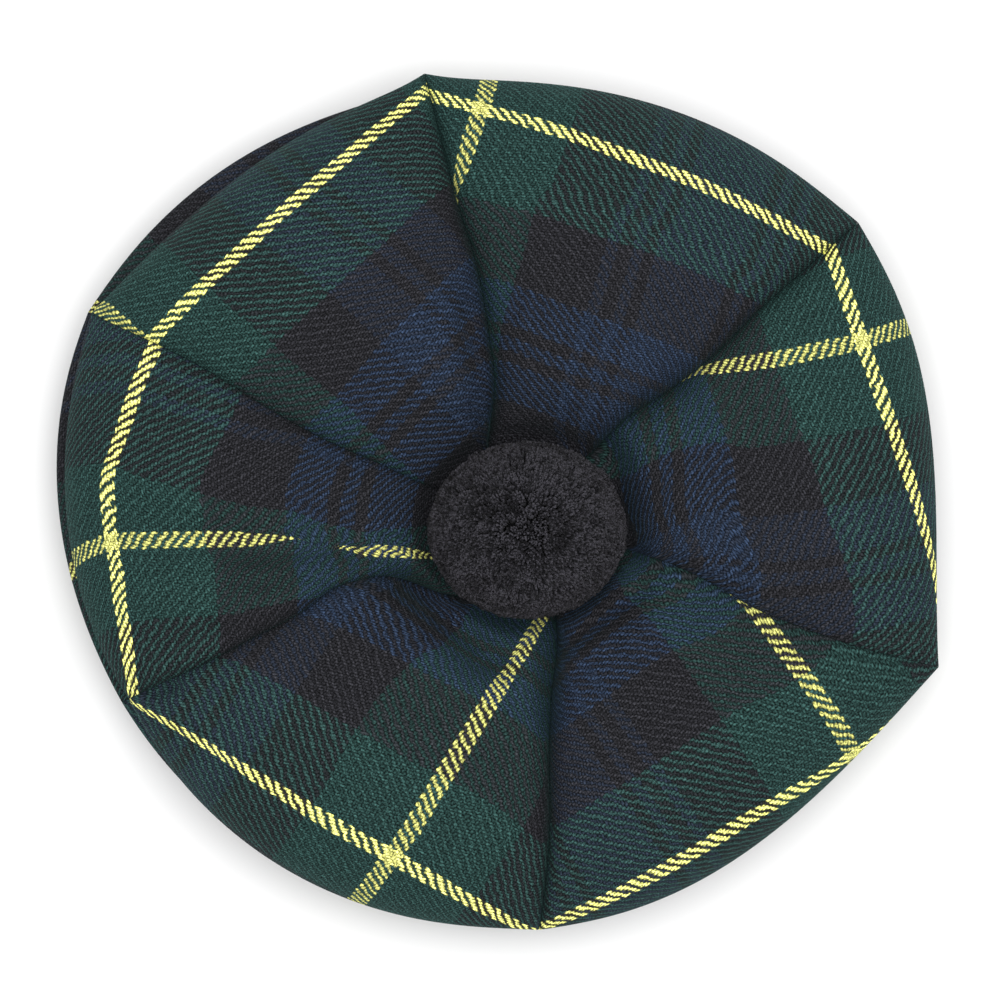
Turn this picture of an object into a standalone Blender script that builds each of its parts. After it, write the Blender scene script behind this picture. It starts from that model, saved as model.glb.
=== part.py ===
"""A tam o shanter lying crown up: six tartan gores, a headband and a wool pompom.

Each gore is one wall of cloth that runs from the crown's eye over the rim and
under it to the headband.  Plan directions are clockwise from +Y, seen from above.
"""

import math
import random

import bmesh
import bpy
import numpy as np

MM = 0.001

# Driving dimensions, in millimetres
CLOTH_THICKNESS = 2.0
SEAM_GAP = 0.3
HEAD_RADIUS = 89.0
BAND_THICKNESS = 2.5
BAND_HEIGHT = 28.0
BAND_SIDES = 72
EYE_PLACE = (6.45, -5.8)         # the gores meet here, a little off the middle of the band
GORE_CROWNING = 2.6              # 2 is a round gore, more is a flatter one with steep sides
GORE_STRIPS = 12                 # faces across a gore
STEPS_PER_SECTION = 2            # faces between two sections

POMPOM_LEAN = (3.2, -2.8)        # the pompom lolls a little off the eye
POMPOM_RADII = (31.2, 27.9, 24.0)
POMPOM_CORE = 0.86               # depth of the clefts between locks, as a share of the radius
POMPOM_SEAT = -0.95              # the underside is flat below this share of the height
LOCK_TIP = 0.66                  # a lock's tip against its root
LOCK_SPREAD = 0.035              # how unevenly the locks are trimmed
TIE_RADIUS = 4.4
KNOT_RADIUS = 8.0
KNOT_HEIGHT = 2.5

# The wall from the eye to the opening.  Shares say where a section lies between the
# eye, the rim and the head opening; heights are above the surface that the hat lies on,
# along the seams and along the middle of the gores; valley and bulge scale the other tables,
# and lean the push of the pompom on the hollow round it.
SECTION_COLUMNS = ("name", "rim_share", "opening_share", "seam_height", "middle_height",
                   "valley", "bulge", "lean")
SECTIONS = (
    ("eye", 0.036, 0.0, 36.0, 36.0, 0.0, 0.0, 0.0),
    ("recess", 0.12, 0.0, 36.0, 36.0, 0.1, 0.0, 0.5),
    ("wall", 0.21, 0.0, 39.0, 40.0, 0.4, 0.0, 1.0),
    ("collar", 0.265, 0.0, 46.0, 48.0, 0.8, 0.0, 0.9),
    ("shoulder", 0.38, 0.0, 50.5, 56.0, 1.0, 0.0, 0.35),
    ("plateau", 0.62, 0.0, 51.5, 59.0, 1.0, 0.0, 0.0),
    ("edge", 0.83, 0.0, 47.5, 56.0, 0.8, 0.0, 0.0),
    ("roll", 0.95, 0.0, 41.0, 47.0, 0.5, 0.0, 0.0),
    ("lip", 1.0, 0.0, 33.5, 35.0, 0.3, 0.0, 0.0),
    ("nip", 0.975, 0.0, 29.5, 30.5, 0.2, 0.2, 0.0),
    ("cheek", 0.97, 0.02, 24.0, 24.0, 0.1, 1.0, 0.0),
    ("under", 0.70, 0.30, 19.0, 17.0, 0.1, 0.5, 0.0),
    ("slope", 0.35, 0.65, 19.5, 17.5, 0.0, 0.0, 0.0),
    ("opening", 0.0, 1.0, 25.0, 25.0, 0.0, 0.0, 0.0),
)

LIP_SECTION = [section[0] for section in SECTIONS].index("lip")

# The six seams, clockwise.  Directions are seen from the eye, at six shares of the way to
# the rim, and the opening's from its own middle.  Radius is the rim's from the eye, and
# corner how far the seam draws it out there; valley is how deep the cloth rolls down into the
# seam, before and after how far from it in the two gores, and bulge how far the underside
# comes out past the folded lip.
BEND_SHARES = (0.2, 0.3, 0.42, 0.55, 0.7, 1.0)
SEAM_COLUMNS = ("name", "near_eye", "collar", "inner", "middle", "outer", "at_rim", "at_opening",
                "radius", "corner", "valley", "before", "after", "bulge")
SEAMS = (
    ("a", -25.0, -12.5, -9.3, -9.1, -10.6, -11.7, -9.0, 142.6, 4.2, 4.5, 3.6, 6.5, 0.0),
    ("b", 39.0, 42.5, 48.0, 49.6, 49.0, 48.8, 51.0, 143.8, 1.8, 4.5, 3.8, 6.0, 0.0),
    ("c", 99.9, 103.3, 105.7, 109.0, 109.8, 108.7, 111.0, 142.4, 0.8, 2.2, 4.0, 6.5, 0.0),
    ("d", 162.0, 164.5, 169.3, 172.0, 173.4, 176.9, 173.0, 129.5, 2.0, 4.5, 6.0, 3.8, 0.0),
    ("e", 220.0, 245.5, 250.9, 247.3, 245.9, 245.4, 237.0, 137.0, 0.0, 2.8, 6.5, 4.0, 5.2),
    ("f", 294.0, 294.0, 294.4, 295.4, 296.5, 296.0, 292.0, 151.3, 0.8, 2.2, 6.5, 3.6, 3.8),
)
CORNER_SHARE = 0.07              # share of a gore's width in which a corner dies away

# Each gore from its seam to the next one: the rim's radius and the underside's bulge a
# third and two thirds of the way, and how high it puffs against the sections.
GORE_COLUMNS = ("name", "rim_third", "rim_two_thirds", "bulge_third", "bulge_two_thirds", "puff")
GORES = (
    ("gore_ab", 140.4, 141.6, 0.0, 0.0, 1.0),
    ("gore_bc", 138.4, 134.4, 0.0, 0.0, 1.0),
    ("gore_cd", 130.3, 129.4, 0.0, 0.0, 0.9),
    ("gore_de", 132.2, 135.1, 0.4, 1.4, 1.0),
    ("gore_ef", 142.2, 146.6, 4.6, 5.7, 0.8),
    ("gore_fa", 143.2, 141.7, 8.4, 5.2, 1.0),
)

# Folds in the crown: a ridge or a valley along a line in plan, with its height and half width.
FOLD_COLUMNS = ("name", "from_x", "from_y", "to_x", "to_y", "height", "width")
FOLDS = (
    ("ef_ridge", -114.0, -12.0, -58.0, -13.0, 2.8, 7.0),
    ("ef_under_ridge", -108.0, -18.0, -66.0, -23.0, -2.2, 5.0),
    ("ef_tuck", -121.0, -2.0, -63.0, -9.5, -2.0, 3.5),
    ("ef_hollow", -78.0, -22.0, -50.0, -25.0, -2.4, 7.0),
    ("de_ridge", -58.0, -26.0, -38.0, -29.0, 3.0, 7.0),
    ("de_valley_top", -33.0, -24.0, -24.0, -28.5, -3.5, 5.0),
    ("de_valley_low", -24.0, -28.5, 1.0, -52.0, -5.5, 5.5),
    ("de_lip", -34.0, -37.0, -12.0, -56.0, 1.8, 6.0),
    ("cd_pleat_valley", 20.0, -47.0, 47.0, -27.5, -2.6, 3.0),
    ("cd_pleat_ridge", 24.0, -54.0, 56.0, -36.0, 2.0, 5.0),
    ("d_deep", 16.5, -46.0, 15.0, -72.0, -2.6, 3.6),
    ("b_hollow", 29.0, 18.0, 38.0, 12.0, -3.5, 5.0),
    ("a_deep", -9.0, 62.0, -3.0, 26.0, -3.0, 4.2),
    ("fa_puff", -18.0, 62.0, -14.0, 36.0, 2.2, 9.0),
    ("fa_sag", -76.0, 42.0, -44.0, 76.0, -1.5, 14.0),
)

MATERIALS = {                    # colour, roughness, sheen
    "tartan_cloth": ((0.012, 0.035, 0.042, 1.0), 0.92, 0.25),
    "band_cloth": ((0.008, 0.008, 0.010, 1.0), 0.95, 0.15),
    "pompom_wool": ((0.015, 0.015, 0.017, 1.0), 0.95, 0.35),
    "tie_yarn": ((0.012, 0.012, 0.014, 1.0), 0.95, 0.2),
}


def column(rows, columns, name):
    """One column of a table as an array."""
    return np.array([row[columns.index(name)] for row in rows], dtype=float)


def smooth_curve(knots, values, places):
    """Cubic curve through the values; at each knot it has its neighbours' mean slope."""
    knots = np.asarray(knots, dtype=float)
    values = np.asarray(values, dtype=float)
    slopes = np.gradient(values, knots)
    left = np.clip(np.searchsorted(knots, places, side="right") - 1, 0, len(knots) - 2)
    span = knots[left + 1] - knots[left]
    part = np.clip((places - knots[left]) / span, 0.0, 1.0)
    rise = part * part * (3.0 - 2.0 * part)
    start_bow = part * (1.0 - part) ** 2
    end_bow = part * part * (part - 1.0)
    return (values[left] * (1.0 - rise) + values[left + 1] * rise
            + span * (slopes[left] * start_bow + slopes[left + 1] * end_bow))


def plan_points(direction, radius):
    """Plan points at a radius, in degrees clockwise from +Y."""
    turn = np.radians(direction)
    return np.stack([radius * np.sin(turn), radius * np.cos(turn)], axis=-1)


def across_curve(seam_values, third, two_thirds, across):
    """Cubic curve across a gore through its values at the two seams and the thirds between."""
    values = (seam_values[0], third, two_thirds, seam_values[1])
    return np.polyval(np.polyfit((0.0, 1.0 / 3.0, 2.0 / 3.0, 1.0), values, 3), across)


def fold_heights(plan):
    """Sum of the folds: each fades with the distance from its line as a bell curve."""
    total = np.zeros(plan.shape[:-1])
    for _name, from_x, from_y, to_x, to_y, height, width in FOLDS:
        start = np.array([from_x, from_y])
        along = np.array([to_x - from_x, to_y - from_y])
        share = np.clip(((plan - start) @ along) / (along @ along), 0.0, 1.0)
        apart = np.linalg.norm(plan - start - share[..., None] * along, axis=-1)
        total += height * np.exp(-(apart / width) ** 2)
    return total


def gore_surface(index, across, stations):
    """Outer face of a gore, as an array of stations by strips, in millimetres.

    A point lies between the eye, the rim and the opening by its section's shares.
    Its height goes from the seams' height to the middle's over a rounded dome, less
    the roll into the nearer seam, plus the folds.
    """
    knots = np.arange(len(SECTIONS))
    sections = {name: smooth_curve(knots, column(SECTIONS, SECTION_COLUMNS, name), stations)[:, None]
                for name in SECTION_COLUMNS[1:]}
    seams = {name: column(SEAMS, SEAM_COLUMNS, name) for name in SEAM_COLUMNS[1:]}
    following = (index + 1) % len(SEAMS)
    lap = 360.0 if following == 0 else 0.0
    gore = dict(zip(GORE_COLUMNS, GORES[index]))

    def between(name, turn=0.0):
        return seams[name][index] * (1.0 - across) + (seams[name][following] + turn) * across

    bend_columns = SEAM_COLUMNS[1:1 + len(BEND_SHARES)]
    directions = np.array([between(name, lap) for name in bend_columns])
    from_eye = np.array([smooth_curve(BEND_SHARES, directions[:, strip], sections["rim_share"][:, 0])
                         for strip in range(len(across))]).T
    pair = [index, following]
    corners = (seams["corner"][index] * np.exp(-across / CORNER_SHARE)
               + seams["corner"][following] * np.exp((across - 1.0) / CORNER_SHARE))
    rim_radius = across_curve(seams["radius"][pair], gore["rim_third"], gore["rim_two_thirds"], across)
    bulge = across_curve(seams["bulge"][pair], gore["bulge_third"], gore["bulge_two_thirds"], across)
    dome = 1.0 - np.abs(2.0 * across - 1.0) ** GORE_CROWNING
    reach = rim_radius + corners + sections["bulge"] * bulge

    is_top = stations[:, None] <= LIP_SECTION
    direction = np.where(is_top, from_eye, between("at_rim", lap))
    rim = np.array(EYE_PLACE) + plan_points(direction, reach)
    opening_radius = HEAD_RADIUS + BAND_THICKNESS + SEAM_GAP
    opening = plan_points(between("at_opening", lap), opening_radius)
    rim_share = sections["rim_share"][..., None]
    opening_share = sections["opening_share"][..., None]
    plan = np.array(EYE_PLACE) * (1.0 - rim_share - opening_share) + rim * rim_share + opening * opening_share
    plan = plan + np.array(POMPOM_LEAN) * sections["lean"][..., None]

    strip_width = np.linalg.norm(plan[:, -1] - plan[:, 0], axis=-1)[:, None]
    from_first = across * strip_width / seams["after"][index]
    from_second = (1.0 - across) * strip_width / seams["before"][following]
    valley = (seams["valley"][index] * np.exp(-from_first)
              + seams["valley"][following] * np.exp(-from_second))
    puff = (sections["middle_height"] - sections["seam_height"]) * gore["puff"]
    height = sections["seam_height"] + puff * dome - sections["valley"] * valley
    height += fold_heights(plan) * sections["valley"] * is_top
    return np.concatenate([plan, height[..., None]], axis=-1)


def unit(vectors):
    return vectors / np.linalg.norm(vectors, axis=-1, keepdims=True)


def crown_walls():
    """Outer and inner faces of the six gores, mitred where two meet at a seam."""
    across = 0.5 - 0.5 * np.cos(np.pi * np.arange(GORE_STRIPS + 1) / GORE_STRIPS)
    stations = np.arange((len(SECTIONS) - 1) * STEPS_PER_SECTION + 1) / STEPS_PER_SECTION
    outer = np.array([gore_surface(index, across, stations) for index in range(len(GORES))])
    down = np.gradient(outer, axis=1)
    sideways = np.gradient(outer, axis=2)
    normals = unit(np.cross(sideways, down))
    normals[:, 0] = (0.0, 0.0, 1.0)
    normals[:, -1] = (0.0, 0.0, -1.0)
    before = np.roll(normals[:, :, -1], 1, axis=0)
    mitre = unit(normals[:, :, 0] + before)
    stretch = 1.0 / np.clip(np.sum(mitre * before, axis=-1, keepdims=True), 0.75, 1.0)
    aside = unit(np.cross(down[:, :, 0], mitre))
    aside *= np.sign(np.sum(aside * sideways[:, :, 0], axis=-1, keepdims=True))
    normals[:, :, 0] = mitre * stretch
    normals[:, :, -1] = np.roll(mitre * stretch, -1, axis=0)
    outer[:, :, 0] += aside * SEAM_GAP / 2.0
    outer[:, :, -1] -= np.roll(aside, -1, axis=0) * SEAM_GAP / 2.0
    return outer, outer - normals * CLOTH_THICKNESS


def new_object(name, mesh, material):
    mesh.materials.append(bpy.data.materials[material])
    part = bpy.data.objects.new(name, mesh)
    bpy.context.scene.collection.objects.link(part)
    return part


def smooth_mesh(name, points, faces, sharp_angle=40.0):
    """A closed mesh from points in millimetres, with its faces turned out."""
    mesh = bpy.data.meshes.new(name)
    mesh.from_pydata([tuple(MM * value for value in point) for point in points], [], faces)
    shape = bmesh.new()
    shape.from_mesh(mesh)
    bmesh.ops.recalc_face_normals(shape, faces=shape.faces)
    shape.to_mesh(mesh)
    shape.free()
    mesh.shade_smooth()
    mesh.set_sharp_from_angle(angle=math.radians(sharp_angle))
    return mesh


def make_gores():
    """Each gore's two faces, closed along its seams, at the eye and at the opening."""
    outer, inner = crown_walls()
    _count, rows, columns, _axes = outer.shape
    grid = np.arange(rows * columns).reshape(rows, columns)
    behind = grid + rows * columns
    edge = np.concatenate([grid[0, :-1], grid[:-1, -1], grid[-1, :0:-1], grid[:0:-1, 0]])
    faces = []
    for top, turned in ((grid, False), (behind, True)):
        quads = np.stack([top[:-1, :-1], top[:-1, 1:], top[1:, 1:], top[1:, :-1]], axis=-1).reshape(-1, 4)
        faces += [tuple(quad[::-1] if turned else quad) for quad in quads.tolist()]
    offset = rows * columns
    for start, end in zip(edge.tolist(), np.roll(edge, -1).tolist()):
        side = (end, start, start + offset, end + offset)
        if start > end and start % columns == 0:
            side = side[1:] + side[:1]       # so that both walls of a seam fold along one diagonal
        faces += [side[:3], (side[0],) + side[2:]]
    for index, row in enumerate(GORES):
        points = np.concatenate([outer[index].reshape(-1, 3), inner[index].reshape(-1, 3)])
        new_object(row[0], smooth_mesh(row[0], points.tolist(), faces), "tartan_cloth")


def turned_solid(name, profile, sides, place, material):
    """A profile of (radius, height) turned round an upright axis; a radius of 0 closes it."""
    shape = bmesh.new()
    points = [shape.verts.new((radius * MM, 0.0, height * MM)) for radius, height in profile]
    closed = all(radius > 0.0 for radius, _height in profile)
    pairs = zip(points, points[1:] + points[:1]) if closed else zip(points, points[1:])
    edges = [shape.edges.new(pair) for pair in pairs]
    bmesh.ops.spin(shape, geom=points + edges, cent=(0, 0, 0), axis=(0, 0, 1),
                   angle=math.tau, steps=sides, use_merge=True)
    bmesh.ops.remove_doubles(shape, verts=shape.verts, dist=0.01 * MM)
    bmesh.ops.translate(shape, verts=shape.verts, vec=(place[0] * MM, place[1] * MM, 0.0))
    bmesh.ops.recalc_face_normals(shape, faces=shape.faces)
    mesh = bpy.data.meshes.new(name)
    shape.to_mesh(mesh)
    shape.free()
    mesh.shade_smooth()
    mesh.set_sharp_from_angle(angle=math.radians(40.0))
    return new_object(name, mesh, material)


def make_headband():
    outside = HEAD_RADIUS + BAND_THICKNESS
    profile = ((HEAD_RADIUS, 0.0), (outside, 0.0), (outside, BAND_HEIGHT), (HEAD_RADIUS, BAND_HEIGHT))
    turned_solid("headband", profile, BAND_SIDES, (0.0, 0.0), "band_cloth")


def eye_height():
    return SECTIONS[0][SECTION_COLUMNS.index("middle_height")]


def make_pompom():
    """A core whose every face is drawn out into a tapering lock, trimmed a little unevenly."""
    trim = random.Random(4)
    seat = eye_height() + SEAM_GAP
    middle_height = seat - POMPOM_SEAT * POMPOM_RADII[2]
    shape = bmesh.new()
    bmesh.ops.create_icosphere(shape, subdivisions=3, radius=POMPOM_CORE)
    locks = bmesh.ops.extrude_discrete_faces(shape, faces=shape.faces)["faces"]
    for lock in locks:
        middle = lock.calc_center_median()
        reach = (1.0 + trim.uniform(-LOCK_SPREAD, LOCK_SPREAD)) / middle.length
        for corner in lock.verts:
            corner.co = middle * reach + (corner.co - middle) * LOCK_TIP
    for point in shape.verts:
        x, y, z = point.co
        point.co = ((EYE_PLACE[0] + POMPOM_LEAN[0] + x * POMPOM_RADII[0]) * MM,
                    (EYE_PLACE[1] + POMPOM_LEAN[1] + y * POMPOM_RADII[1]) * MM,
                    (middle_height + max(z, POMPOM_SEAT) * POMPOM_RADII[2]) * MM)
    bmesh.ops.recalc_face_normals(shape, faces=shape.faces)
    mesh = bpy.data.meshes.new("pompom")
    shape.to_mesh(mesh)
    shape.free()
    new_object("pompom", mesh, "pompom_wool")


def make_tie():
    """The yarn that holds the pompom: a shank through the eye with a flat knot under it."""
    under_cloth = eye_height() - CLOTH_THICKNESS - SEAM_GAP
    profile = ((0.0, under_cloth - KNOT_HEIGHT), (KNOT_RADIUS, under_cloth - KNOT_HEIGHT),
               (KNOT_RADIUS, under_cloth), (TIE_RADIUS, under_cloth),
               (TIE_RADIUS, eye_height()), (0.0, eye_height()))
    turned_solid("pompom_tie", profile, 16, EYE_PLACE, "tie_yarn")


def make_materials():
    for name, (colour, roughness, sheen) in MATERIALS.items():
        material = bpy.data.materials.new(name)
        material.use_nodes = True
        shader = material.node_tree.nodes["Principled BSDF"]
        shader.inputs["Base Color"].default_value = colour
        shader.inputs["Roughness"].default_value = roughness
        shader.inputs["Sheen Weight"].default_value = sheen
        shader.inputs["Metallic"].default_value = 0.0


def main():
    for thing in list(bpy.data.objects):
        bpy.data.objects.remove(thing, do_unlink=True)
    make_materials()
    make_gores()
    make_headband()
    make_pompom()
    make_tie()


main()
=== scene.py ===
import math

import bpy
import numpy as np
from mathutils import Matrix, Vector


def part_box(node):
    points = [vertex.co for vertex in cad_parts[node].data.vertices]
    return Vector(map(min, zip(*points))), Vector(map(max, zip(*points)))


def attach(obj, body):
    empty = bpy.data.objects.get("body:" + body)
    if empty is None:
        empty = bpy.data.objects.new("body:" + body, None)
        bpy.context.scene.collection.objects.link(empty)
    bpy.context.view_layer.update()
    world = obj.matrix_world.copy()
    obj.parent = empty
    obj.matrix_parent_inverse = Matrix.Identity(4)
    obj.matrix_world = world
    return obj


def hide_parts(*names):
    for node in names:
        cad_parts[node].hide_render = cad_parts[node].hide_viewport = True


# A tam o shanter lying crown up: six tartan gores, a headband, a wool pompom and its tie.
# Tables are in millimetres, directions in degrees clockwise from +Y as seen from above.

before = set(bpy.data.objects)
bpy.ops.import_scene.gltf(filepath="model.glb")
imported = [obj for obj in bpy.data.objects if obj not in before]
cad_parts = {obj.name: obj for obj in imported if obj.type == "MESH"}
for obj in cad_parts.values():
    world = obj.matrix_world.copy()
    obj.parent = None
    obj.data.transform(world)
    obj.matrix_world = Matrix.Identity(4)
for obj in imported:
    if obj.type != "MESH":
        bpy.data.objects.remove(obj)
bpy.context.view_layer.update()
mm = 0.001
print("frame loaded:", ", ".join(sorted(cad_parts)))


def smoothCurve(knots, values, places):
    # cubic through the values, whose slope at a knot is its neighbours' mean slope
    knots = np.asarray(knots, dtype=float)
    values = np.asarray(values, dtype=float)
    slopes = np.gradient(values, knots)
    left = np.clip(np.searchsorted(knots, places, side="right") - 1, 0, len(knots) - 2)
    span = knots[left + 1] - knots[left]
    part = np.clip((places - knots[left]) / span, 0.0, 1.0)
    rise = part * part * (3.0 - 2.0 * part)
    bows = slopes[left] * part * (1.0 - part) ** 2 + slopes[left + 1] * part * part * (part - 1.0)
    return values[left] * (1.0 - rise) + values[left + 1] * rise + span * bows


def thirdsCurve(values, places):
    # cubic through four values at 0, 1/3, 2/3 and 1
    return np.polyval(np.polyfit((0.0, 1.0 / 3.0, 2.0 / 3.0, 1.0), values, 3), places)


def unit(vectors):
    return vectors / np.linalg.norm(vectors, axis=-1, keepdims=True)


def planPoints(direction, radius):
    turn = np.radians(direction)
    return np.stack([radius * np.sin(turn), radius * np.cos(turn)], axis=-1)


def linesDistance(plan, start, end):
    # distance from each plan point to a straight line between two points
    start, along = np.array(start), np.array(end) - np.array(start)
    share = np.clip(((plan - start) @ along) / (along @ along), 0.0, 1.0)
    return np.linalg.norm(plan - start - share[..., None] * along, axis=-1)


def gridQuads(corner):
    # four corners of each cell of a grid of vertex numbers, rows by columns
    cells = (corner[:-1, :-1], corner[:-1, 1:], corner[1:, 1:], corner[1:, :-1])
    return np.stack(cells, axis=-1).reshape(-1, 4)


def newPiece(name, points, faces, material, nodes, maps=None, attributes=None):
    # a mesh piece from points in millimetres; UV maps and attributes have one value a vertex
    mesh = bpy.data.meshes.new(name)
    mesh.from_pydata((points * mm).tolist(), [], faces)
    corners = np.zeros(len(mesh.loops), dtype=np.int32)
    mesh.loops.foreach_get("vertex_index", corners)
    for label, uv in (maps or {}).items():
        mesh.uv_layers.new(name=label).data.foreach_set("uv", uv[corners].astype(np.float32).ravel())
    for label, values in (attributes or {}).items():
        mesh.attributes.new(label, "FLOAT", "POINT").data.foreach_set("value", values.astype(np.float32))
    mesh.shade_smooth()
    mesh.materials.append(material)
    mesh.update()
    piece = bpy.data.objects.new(name, mesh)
    bpy.context.scene.collection.objects.link(piece)
    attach(piece, "root")
    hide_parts(*nodes)
    return piece


def newGroup(name, inputs, outputs):
    # a shader node group with named sockets, and its input and output nodes
    group = bpy.data.node_groups.new(name, "ShaderNodeTree")
    for label, kind, value in inputs:
        socket = group.interface.new_socket(label, in_out="INPUT", socket_type="NodeSocket" + kind)
        if value is not None:
            socket.default_value = value
    for label, kind in outputs:
        group.interface.new_socket(label, in_out="OUTPUT", socket_type="NodeSocket" + kind)
    return group, group.nodes.new("NodeGroupInput").outputs, group.nodes.new("NodeGroupOutput").inputs


def feed(tree, socket, value):
    if isinstance(value, bpy.types.NodeSocket):
        tree.links.new(value, socket)
    else:
        socket.default_value = value


def maths(tree, operation, *values):
    node = tree.nodes.new("ShaderNodeMath")
    node.operation = operation
    for socket, value in zip(node.inputs, values):
        feed(tree, socket, value)
    return node.outputs[0]


def readAttribute(tree, label):
    node = tree.nodes.new("ShaderNodeAttribute")
    node.attribute_name = label
    return node.outputs["Fac"]


def mixColours(tree, share, first, second, blend="MIX"):
    node = tree.nodes.new("ShaderNodeMix")
    node.data_type = "RGBA"
    node.blend_type = blend
    feed(tree, node.inputs[0], share)
    feed(tree, node.inputs[6], first)
    feed(tree, node.inputs[7], second)
    return node.outputs[2]


def noiseField(tree, place, scale, detail, dimensions="3D"):
    node = tree.nodes.new("ShaderNodeTexNoise")
    node.noise_dimensions = dimensions
    node.inputs["Scale"].default_value = scale
    node.inputs["Detail"].default_value = detail
    tree.links.new(place, node.inputs["Vector"])
    return node.outputs["Fac"]


def rangeMap(tree, value, fromLow, fromHigh, toLow, toHigh):
    node = tree.nodes.new("ShaderNodeMapRange")
    for socket, number in zip(node.inputs[1:5], (fromLow, fromHigh, toLow, toHigh)):
        socket.default_value = number
    tree.links.new(value, node.inputs[0])
    return node.outputs[0]


def newMaterial(name, roughness, sheen, sheenRoughness=0.5, sheenTint=(1.0, 1.0, 1.0, 1.0), specular=0.5):
    material = bpy.data.materials.new(name)
    material.use_nodes = True
    tree = material.node_tree
    shader = tree.nodes["Principled BSDF"]
    shader.inputs["Roughness"].default_value = roughness
    shader.inputs["Sheen Weight"].default_value = sheen
    shader.inputs["Sheen Roughness"].default_value = sheenRoughness
    shader.inputs["Sheen Tint"].default_value = sheenTint
    shader.inputs["Specular IOR Level"].default_value = specular
    return material, tree, shader


def twoColours(tree, share, dark, light):
    ramp = tree.nodes.new("ShaderNodeValToRGB")
    ramp.color_ramp.elements[0].color = dark
    ramp.color_ramp.elements[1].color = light
    tree.links.new(share, ramp.inputs["Fac"])
    return ramp.outputs["Color"]


def addBump(tree, shader, height, distance):
    bump = tree.nodes.new("ShaderNodeBump")
    bump.inputs["Distance"].default_value = distance
    tree.links.new(height, bump.inputs["Height"])
    tree.links.new(bump.outputs["Normal"], shader.inputs["Normal"])


tartan = {
    "thread": 0.93,                      # mean width of a thread of the sett
    "warpPitch": 0.91,                   # yarns across the chord, and along it
    "weftPitch": 0.73,
    "yarns": {                           # linear colours
        "green": (0.028, 0.070, 0.064, 1.0),
        "black": (0.027, 0.027, 0.032, 1.0),
        "blue": (0.026, 0.043, 0.082, 1.0),
        "yellow": (0.775, 0.775, 0.228, 1.0),
    },
    "warpBlue": (0.031, 0.041, 0.066, 1.0),   # the warp's blue is greyer than the weft's
    # threads of the half sett, from the middle of the triple stripe to the middle of the
    # broad blue; it is mirrored at both
    "sett": (("blue", 2), ("black", 4), ("blue", 16), ("black", 26), ("green", 26), ("yellow", 6),
             ("green", 26), ("black", 26), ("blue", 4), ("black", 4), ("blue", 4), ("black", 4),
             ("blue", 14)),
    "weftSlim": 0.5,                     # threads that the closer wefts' yellow loses on each side
    "paintedPitShade": (0.10, 1.34, 1.5),            # painted shade between yarns, the gain on top, and its power
    "roundness": 0.5,                    # how much a yarn's back stands over its edges
    "weftProud": 0.06,                   # how much higher the wefts lie than the warps
    "blend": 0.42,                       # the fuzz where a weft goes over a warp
    "veil": (0.13, 3.0),                 # how much of the lower yarn shows through, and how soon a
                                         # yellow yarn ends it
    "sway": (0.35, 0.8),                 # scale of the yarns' wander, and how many yarns wide it is
    "fibres": (1.9, 0.5),                # scale of the heathered tone with painted fibre glints and shade, and its relief
    "heatherGlintAndShade": (0.28, 0.72, 0.1, 1.9),   # range of its noise, and the dark and light made of it: heathered tone and painted glints and shade
    "yarnTones": (0.9, 1.1),             # from yarn to yarn, and from crossing to crossing
    "crossingTones": (0.85, 1.15),
    "toneSeeds": (47.0, 11.0),           # of wefts and warps
    "paintedRibShades": (1.17, 0.85),              # painted light and shade of wefts and warps, which draws the twill's ribs
    "yellowLift": (0.16, 0.30),          # how much prouder fluffy yellow warps and wefts stand
    "bumpDepth": 0.00030,
    # painted shade: the near-black colour painted into the seams
    "paintedSeamShadeColour": (0.004, 0.005, 0.006, 1.0),
    "roughness": 0.9,
    "sheen": 0.05,
    "sheenRoughness": 0.3,
    "sheenTint": (0.40, 0.90, 0.85, 1.0),
    "specular": 0.08,
}


def settRamp(tree, place, yarns, slim):
    # colour of the sett at a distance in millimetres from the middle of the triple stripe
    total = tartan["thread"] * sum(count for _, count in tartan["sett"])
    mirrored = maths(tree, "PINGPONG", place, total)
    ramp = tree.nodes.new("ShaderNodeValToRGB")
    ramp.color_ramp.interpolation = "CONSTANT"
    stops = ramp.color_ramp.elements
    start = 0.0
    for number, (yarn, count) in enumerate(tartan["sett"]):
        trim = slim * ((yarn == "yellow") - (tartan["sett"][number - 1][0] == "yellow"))
        share = (start + trim) * tartan["thread"] / total
        if number < 2:
            stops[number].position = share
        else:
            stops.new(share)
        stops[number].color = yarns[yarn]
        start += count
    tree.links.new(maths(tree, "DIVIDE", mirrored, total), ramp.inputs["Fac"])
    return ramp.outputs["Color"]


def chanceOf(tree, place, tones, dimensions="1D"):
    # an even random number for each whole place, between the two tones
    chance = tree.nodes.new("ShaderNodeTexWhiteNoise")
    chance.noise_dimensions = dimensions
    tree.links.new(place, chance.inputs["W" if dimensions == "1D" else "Vector"])
    return rangeMap(tree, chance.outputs["Value"], 0.0, 1.0, *tones)


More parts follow.
